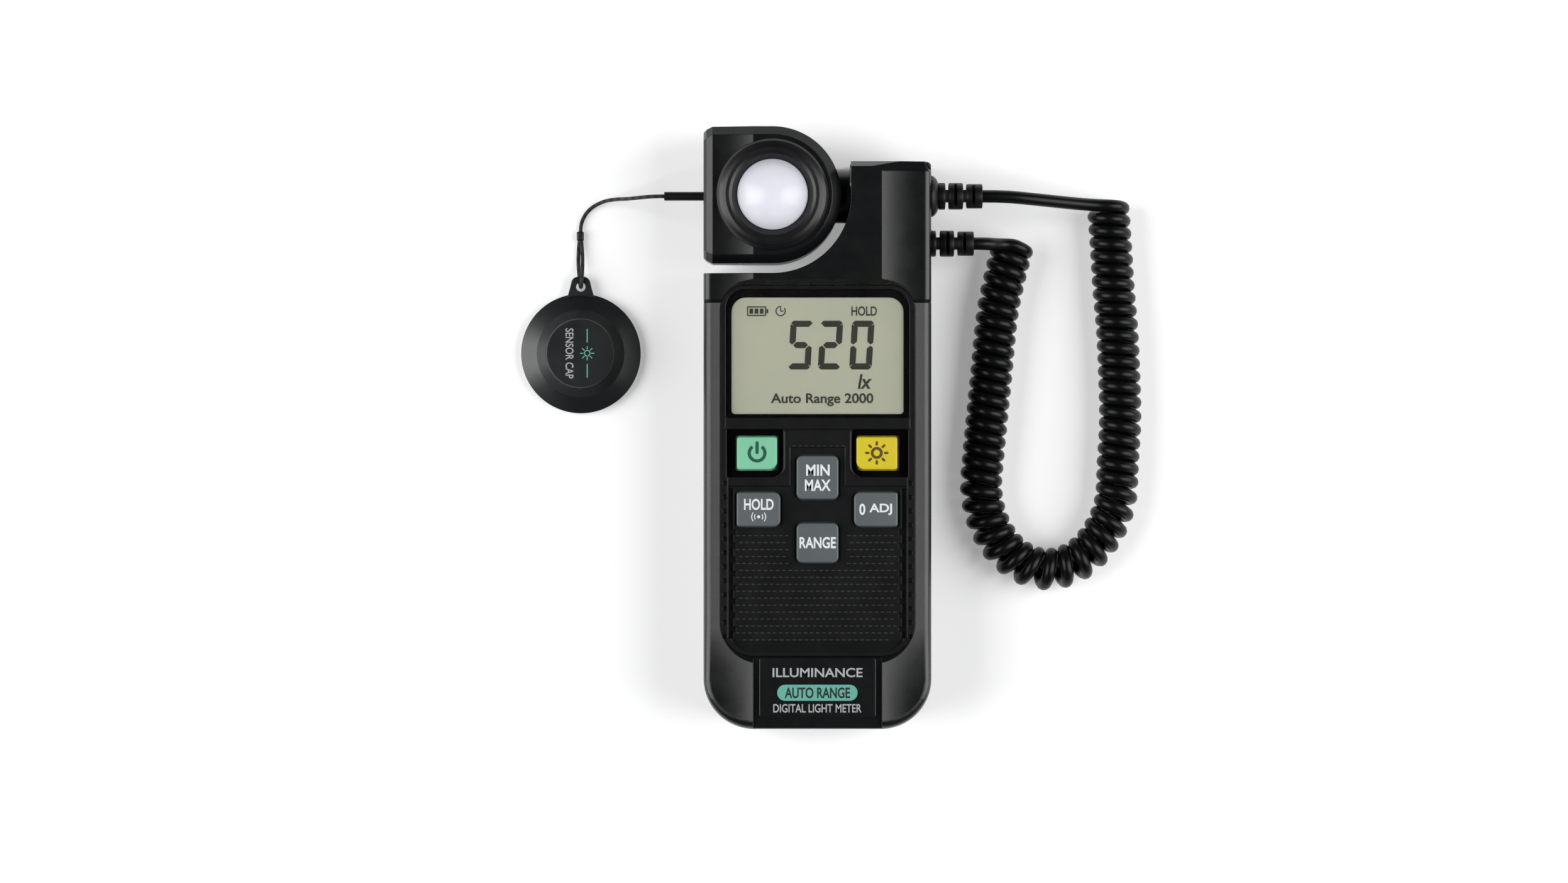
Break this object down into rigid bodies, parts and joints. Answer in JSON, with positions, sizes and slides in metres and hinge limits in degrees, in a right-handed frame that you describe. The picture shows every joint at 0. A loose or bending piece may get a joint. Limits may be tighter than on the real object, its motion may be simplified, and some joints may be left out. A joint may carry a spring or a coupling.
{
  "type": "light meter",
  "caption": "Hand-held digital light meter with a tilting, dockable sensor head, curly cord, keypad, display and a sensor cap on a strap.",
  "frame": {"origin": "middle of the flat back that the meter rests on, halfway along its length", "axes": "+Z out of the display, +Y towards the sensor head, +X to the right of the display"},
  "size_m": [0.1769, 0.169, 0.0381],
  "materials": {
    "case_black": "satin black ABS",
    "head_black": "satin black ABS",
    "panel_black": "matt black",
    "nameplate_black": "matt black",
    "collar_black": "semi-gloss black",
    "cap_black": "satin black",
    "seal_rubber": "matt",
    "cord_black": "matt PVC",
    "gland_rubber": "matt",
    "strap_cord": "braided nylon",
    "crimp": "black",
    "dome_white": "opal acrylic",
    "window_clear": "clear acrylic",
    "mask_black": "printed",
    "lcd": "grey-green display",
    "light_guide": "frosted",
    "zebra": "matt",
    "board_green": "solder resist",
    "chip_black": "matt",
    "steel": "plain",
    "brass": "turned",
    "cell": "sleeved",
    "silicone": "matt",
    "lead_jacket": "matt",
    "filter_green": "clear",
    "key_green": "satin",
    "key_yellow": "satin",
    "key_grey": "satin"
  },
  "bodies": {
    "case": {"rear_case": "case_black", "front_case": "case_black", "arm_cover": "case_black", "case_gasket": "seal_rubber", "face_panel": "panel_black", "display_window": "window_clear", "display_mask": "mask_black", "lcd_glass": "lcd", "lcd_backlight": "light_guide", "zebra_strips": "zebra", "main_board": "board_green", "board_chips": "chip_black", "wireless_module": "steel", "buzzer": "chip_black", "keypad_mat": "silicone", "nameplate": "nameplate_black", "case_screws": "steel", "battery_cells": "cell", "battery_contacts": "steel", "battery_springs": "steel", "door_insert": "brass", "tripod_insert": "brass", "lower_gland": "gland_rubber", "cord_lower_lead": "cord_black", "cord_coil": "cord_black"},
    "battery_cover": {"battery_door": "case_black", "battery_door_seal": "seal_rubber"},
    "door_screw": {"battery_door_screw": "steel"},
    "carriage": {"pivot_block": "head_black", "pivot_spindle": "steel", "spindle_clip": "steel", "tilt_washer": "steel", "sensor_lead": "lead_jacket", "upper_gland": "gland_rubber", "cord_upper_lead": "cord_black", "strap_cord": "strap_cord", "strap_crimp": "crimp", "strap_loop": "strap_cord"},
    "sensor_head": {"head_front_shell": "head_black", "head_rear_shell": "head_black", "pivot_sleeve": "head_black", "sensor_collar": "collar_black", "dome_diffuser": "dome_white", "optical_filter": "filter_green", "photodiode": "steel", "sensor_board": "board_green", "head_screws": "steel", "strap_sleeve": "gland_rubber"},
    "cap": {"sensor_cap": "cap_black"},
    "power_button": {"key_power": "key_green"},
    "backlight_button": {"key_backlight": "key_yellow"},
    "min_max_button": {"key_min_max": "key_grey"},
    "hold_button": {"key_hold": "key_grey"},
    "zero_adjust_button": {"key_zero_adjust": "key_grey"},
    "range_button": {"key_range": "key_grey"}
  },
  "joints": [
    {"name": "head_dock", "type": "slide", "parent": "case", "child": "carriage", "axis": [0, 1, 0], "range_m": [0, 0.022]},
    {"name": "head_tilt", "type": "hinge", "parent": "carriage", "child": "sensor_head", "pos_m": [0, 0.0653, 0.0195], "axis": [1, 0, 0], "range_deg": [-180, 90]},
    {"name": "cap_swing", "type": "hinge", "parent": "carriage", "child": "cap", "pos_m": [-0.0674, 0.0402, 0], "axis": [0, 0, 1], "range_deg": [-35, 35]},
    {"name": "battery_door_lift", "type": "slide", "parent": "case", "child": "battery_cover", "axis": [0, 0, -1], "range_m": [0, 0.03]},
    {"name": "door_screw_turn", "type": "hinge", "parent": "battery_cover", "child": "door_screw", "pos_m": [0, -0.0175, 0], "axis": [0, 0, 1], "continuous": true},
    {"name": "power_press", "type": "slide", "parent": "case", "child": "power_button", "axis": [0, 0, -1], "range_m": [0, 0.0008], "stiffness_N_per_m": 2500},
    {"name": "backlight_press", "type": "slide", "parent": "case", "child": "backlight_button", "axis": [0, 0, -1], "range_m": [0, 0.0008], "stiffness_N_per_m": 2500},
    {"name": "min_max_press", "type": "slide", "parent": "case", "child": "min_max_button", "axis": [0, 0, -1], "range_m": [0, 0.0008], "stiffness_N_per_m": 2500},
    {"name": "hold_press", "type": "slide", "parent": "case", "child": "hold_button", "axis": [0, 0, -1], "range_m": [0, 0.0008], "stiffness_N_per_m": 2500},
    {"name": "zero_adjust_press", "type": "slide", "parent": "case", "child": "zero_adjust_button", "axis": [0, 0, -1], "range_m": [0, 0.0008], "stiffness_N_per_m": 2500},
    {"name": "range_press", "type": "slide", "parent": "case", "child": "range_button", "axis": [0, 0, -1], "range_m": [0, 0.0008], "stiffness_N_per_m": 2500}
  ]
}
